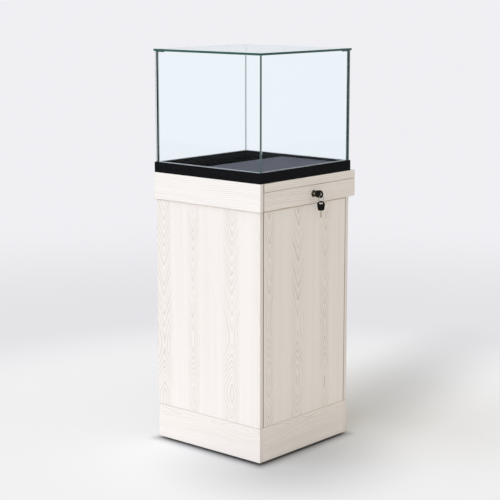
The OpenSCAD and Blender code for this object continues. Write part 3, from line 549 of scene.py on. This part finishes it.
def floor_shade(n, place, axes):
    """Painted shadow in the floor's colour. How pale the floor is: less under the plinth and close
    round it, in front of it, and in a band to its right. The band's own share comes second."""
    beyond_x = n.math("SUBTRACT", n.math("ABSOLUTE", axes["X"]), PLINTH_HIGH[1])
    beyond_y = n.math("SUBTRACT", n.math("ABSOLUTE", axes["Y"]), PLINTH_HIGH[1])
    outside = n.vector(n.math("MAXIMUM", beyond_x, 0.0), n.math("MAXIMUM", beyond_y, 0.0), 0.0)
    inside = n.math("MINIMUM", n.math("MAXIMUM", beyond_x, beyond_y), 0.0)
    beyond = n.math("ADD", n.distance(outside, (0.0, 0.0, 0.0)), inside)
    foot = n.fade(beyond, *FOOT_SHADE)
    front = n.fade(n.distance(place, FRONT_SHADE_AT), *FRONT_SHADE)
    along = n.math("SUBTRACT", axes["X"], RIGHT_SHADE_AT[0])
    middle = n.math("MULTIPLY_ADD", along, RIGHT_SHADE_SLOPE, RIGHT_SHADE_AT[1])
    band = n.vector(n.math("MULTIPLY", along, RIGHT_SHADE_SQUEEZE),
                    n.math("SUBTRACT", axes["Y"], middle), 0.0)
    right = n.fade(n.distance(band, (0.0, 0.0, 0.0)), *RIGHT_SHADE)
    return n.math("MULTIPLY", n.math("MULTIPLY", foot, front), right), right


def make_floor():
    """Pale floor with shadow painted into its colour near the object, which also keeps the lamps'
    shadow near the object and meets the backdrop far away.
    """
    floor = disc("floor", FLOOR_RADIUS)
    made, n, shader = material("studio_floor", FLOOR_PALE, FLOOR_ROUGHNESS)
    place, axes = object_place(n)
    distance = n.distance(place, (0.0, 0.0, 0.0))
    shade, right_shade = floor_shade(n, place, axes)
    # painted shadow: the floor's own colour is darkened under, in front of and to the right of the
    # plinth
    n.plug(shader.inputs["Base Color"], n.mix(shade, BLACK, FLOOR_PALE))
    band = n.mix(n.fade(distance, *FAR_TO_BAND), FLOOR_FAR, FLOOR_BAND)
    # painted shadow: the band to the right also darkens the glowing far floor
    band = n.mix(right_shade, BLACK, band)
    far = n.mix(n.fade(distance, *BAND_TO_BACKDROP), band, BACKDROP)
    shown, seen = by_ray(n, far, FLOOR_IN_GLOSS)
    glow = n.add("ShaderNodeEmission", Color=shown, Strength=1.0)
    glowing = n.math("MULTIPLY", n.fade(distance, *LIT_TO_GLOW), seen)
    surface = n.mix_shader(glowing, shader.outputs[0], glow.outputs[0])
    n.plug(made.node_tree.nodes["Material Output"].inputs["Surface"], surface)
    floor.data.materials.append(made)


def make_world():
    """Even light from all round; what looks straight at it sees the backdrop."""
    world = bpy.data.worlds.new("studio")
    world.use_nodes = True
    bpy.context.scene.world = world
    tree = world.node_tree
    n = Nodes(tree)
    light = tree.nodes["Background"]
    n.plug(light.inputs["Color"], (*WORLD_LIGHT, 1.0))
    n.plug(light.inputs["Strength"], WORLD_STRENGTH)
    colour, seen = by_ray(n, BACKDROP, SKY_IN_GLOSS)
    shown = n.add("ShaderNodeBackground", Color=colour, Strength=1.0)
    surface = n.mix_shader(seen, light.outputs[0], shown.outputs[0])
    n.plug(tree.nodes["World Output"].inputs["Surface"], surface)


def sun(name, direction, colour, strength, spread_degrees):
    """A distant lamp that shines along direction and isn't seen in or through glass."""
    data = bpy.data.lights.new(name, "SUN")
    data.energy = strength
    data.color = colour
    data.angle = math.radians(spread_degrees)
    lamp = bpy.data.objects.new(name, data)
    lamp.rotation_mode = "QUATERNION"
    lamp.rotation_quaternion = Vector(direction).to_track_quat("-Z", "Y")
    lamp.visible_glossy = False
    lamp.visible_transmission = False
    bpy.context.collection.objects.link(lamp)


def make_camera():
    data = bpy.data.cameras.new("camera")
    data.sensor_width = SENSOR_MM
    data.lens = CAMERA_LENS_MM
    camera = bpy.data.objects.new("camera", data)
    camera.location = CAMERA_AT
    ahead = Vector((math.sin(CAMERA_YAW) * math.cos(CAMERA_PITCH),
                    math.cos(CAMERA_YAW) * math.cos(CAMERA_PITCH), -math.sin(CAMERA_PITCH)))
    camera.rotation_mode = "QUATERNION"
    camera.rotation_quaternion = ahead.to_track_quat("-Z", "Y")
    bpy.context.collection.objects.link(camera)
    bpy.context.scene.camera = camera


# ---- finishes on the nodes ----


def finish_nodes(made, *names):
    """Gives CAD nodes one material."""
    for name in names:
        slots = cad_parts[name].data.materials
        slots.clear()
        slots.append(made)


def dress_outer_wood():
    seams = [("X", PANEL_LOW[0], SEAM_HALF), ("X", PANEL_HIGH[0], RIGHT_SEAM_HALF)]
    head_seams = [("X", HEADER_HIGH[0], SEAM_HALF)]
    foot = [("Z", PANEL_LOW[2], FOOT_LINE_HALF)]
    head = [("Z", HEADER_LOW[2], HEAD_LINE_HALF)]
    # painted shade under the header's overhang, laid on the joint line at the panel's top
    under_head_shade = [("Z", PANEL_HIGH[2], UNDER_HEAD_SHADE_HALF)]
    finish_nodes(ash("ash_side", "Y", "Z", centre=-0.118, leaf=0.167, eye=0.238, sway=0.032,
                     wave=0.3, warp=0.024, narrow=0.85, seed=1.0, edges=[("Y", SIDE_HIGH[1])],
                     seams=seams, levels=foot),
                 "side_panel_left", "side_panel_right")
    finish_nodes(ash("ash_front", "X", "Z", centre=-0.043, leaf=0.160, eye=0.27, arch=0.036,
                     step=0.0135, sway=0.026, wave=0.3, narrow=0.75, strength=1.0, seed=5.0,
                     seams=seams, levels=foot + under_head_shade),
                 "front_panel", "back_panel")
    finish_nodes(rail_ash("ash_rail_x", "X", seed=8.0, strength=1.0, seams=head_seams,
                          seam_face=[("Y", -DRAWER_LOW[1])]),
                 "header_top_rail", "drawer_front", "header_back")
    finish_nodes(rail_ash("ash_rail_y", "Y", seed=11.0, strength=0.55, pale=RAIL_PALE,
                          blush=RAIL_BLUSH, edges=[("Y", HEADER_HIGH[1])], seams=head_seams,
                          levels=head),
                 "header_left", "header_right", "header_outer_right")
    finish_nodes(plinth_ash("ash_plinth_x", "X", eye=-0.19, seed=14.0, strength=0.7, levels=foot),
                 "plinth_front", "plinth_back")
    finish_nodes(plinth_ash("ash_plinth_y", "Y", eye=-0.16, seed=17.0, strength=0.5,
                            edges=[("Y", PLINTH_HIGH[1])], levels=foot),
                 "plinth_left", "plinth_right")


def dress_inner_wood():
    finish_nodes(inner_ash("inner_wood_flat", "X", "Y", seed=20.0), "bottom_board", "top_board",
                 "drawer_bottom", "drawer_side_left", "drawer_side_right")
    finish_nodes(inner_ash("inner_wood_across", "Z", "X", seed=23.0), "drawer_back",
                 "plinth_battens", "joint_dowels")
    finish_nodes(inner_ash("inner_wood_upright", "X", "Z", seed=26.0), "plinth_corner_blocks")


def dress_base_and_deck():
    finish_nodes(speckled("black_lacquer", dark=(0.003, 0.003, 0.0035),
                          light=(0.007, 0.007, 0.008), roughness=(0.42, 0.55), size=0.0016,
                          relief=0.00004, Specular_IOR_Level=0.10),
                 "base_rail_front", "base_rail_back", "base_rail_left", "base_rail_right")
    finish_nodes(speckled("black_felt", dark=(0.001, 0.0015, 0.002), light=(0.003, 0.004, 0.005),
                          roughness=(0.95, 1.0), size=0.0007, relief=0.00002,
                          Specular_IOR_Level=0.0),
                 "well_tray", "deck_bearer")
    finish_nodes(speckled("grey_laminate", dark=(0.085, 0.088, 0.112), light=(0.115, 0.12, 0.150),
                          roughness=(0.7, 0.8), size=0.0009, relief=0.00006,
                          Specular_IOR_Level=0.12),
                 "deck_plate")
    finish_nodes(speckled("black_rubber", dark=(0.008, 0.008, 0.008), light=(0.02, 0.02, 0.02),
                          roughness=(0.7, 0.85), size=0.0006, relief=0.00005), "glides")
    # the seat strip is real; its pale colour also stands in for the glint along the rim's inner
    # edge, a painted highlight
    finish_nodes(speckled("clear_vinyl", dark=(0.70, 0.74, 0.76), light=(0.82, 0.86, 0.88),
                          roughness=(0.22, 0.34), size=0.0006, relief=0.00003,
                          Transmission_Weight=0.25),
                 "glass_seat_strip")


def dress_runners_and_lock():
    finish_nodes(brushed("zinc_plate", dark=(0.50, 0.51, 0.53), light=(0.68, 0.69, 0.71),
                         roughness=(0.28, 0.42), along="Y"),
                 "header_screws", "strike_plate", "runner_outer_left", "runner_outer_right",
                 "runner_middle_left", "runner_middle_right", "runner_inner_left",
                 "runner_inner_right", "outer_runner_balls", "inner_runner_balls",
                 "drawer_brackets", "drawer_screws", "lock_nut", "lock_cam", "cam_screw")
    finish_nodes(speckled("antique_bronze", dark=(0.20, 0.15, 0.10), light=(0.32, 0.25, 0.18),
                          roughness=(0.22, 0.36), size=0.0008, relief=0.00001, metallic=1.0),
                 "lock_housing", "lock_plug")
    finish_nodes(speckled("bright_nickel", dark=(0.62, 0.60, 0.57), light=(0.74, 0.72, 0.69),
                          roughness=(0.16, 0.28), size=0.0008, relief=0.00001, metallic=1.0),
                 "key_ring")
    finish_nodes(brushed("key_brass", dark=(0.50, 0.45, 0.33), light=(0.62, 0.56, 0.42),
                         roughness=(0.30, 0.42), along="Z", metallic=0.25),
                 "key_blade", "spare_key_blade")
    finish_nodes(speckled("key_plastic", dark=(0.003, 0.0025, 0.002),
                          light=(0.006, 0.005, 0.0045), roughness=(0.35, 0.5), size=0.0007,
                          relief=0.00004, Specular_IOR_Level=0.2),
                 "key_head", "spare_key_head")


def dress_hood():
    joints = [("X", GLASS_HIGH[0], JOINT_HALF), ("X", -GLASS_HIGH[0], JOINT_HALF)]
    finish_nodes(clear_glass("float_glass_side", UPRIGHT_EDGE,
                             edges=[("Y", GLASS_HIGH[1] - UPRIGHT_BAND)]),
                 "glass_left", "glass_right")
    finish_nodes(clear_glass("float_glass_cross", UPRIGHT_EDGE, joints=joints),
                 "glass_front", "glass_back")
    finish_nodes(clear_glass("float_glass_top", TOP_EDGE,
                             edges=[("X", TOP_HIGH[0]), ("Y", TOP_HIGH[1])]),
                 "glass_top")
    finish_nodes(speckled("grey_metal", dark=(0.20, 0.20, 0.205), light=(0.30, 0.30, 0.31),
                          roughness=(0.3, 0.45), size=0.0008, relief=0.00003, metallic=0.6),
                 "glass_connectors")


dress_outer_wood()
dress_inner_wood()
dress_base_and_deck()
dress_runners_and_lock()
dress_hood()
make_floor()
make_world()
sun("key", direction=(0.88, -0.08, -0.62), colour=(0.92, 1.01, 1.24), strength=1.70,
    spread_degrees=90.0)
sun("top", direction=(0.10, 0.30, -1.0), colour=(1.0, 1.0, 1.0), strength=0.20,
    spread_degrees=30.0)
make_camera()

view = bpy.context.scene.view_settings
view.view_transform = "Standard"
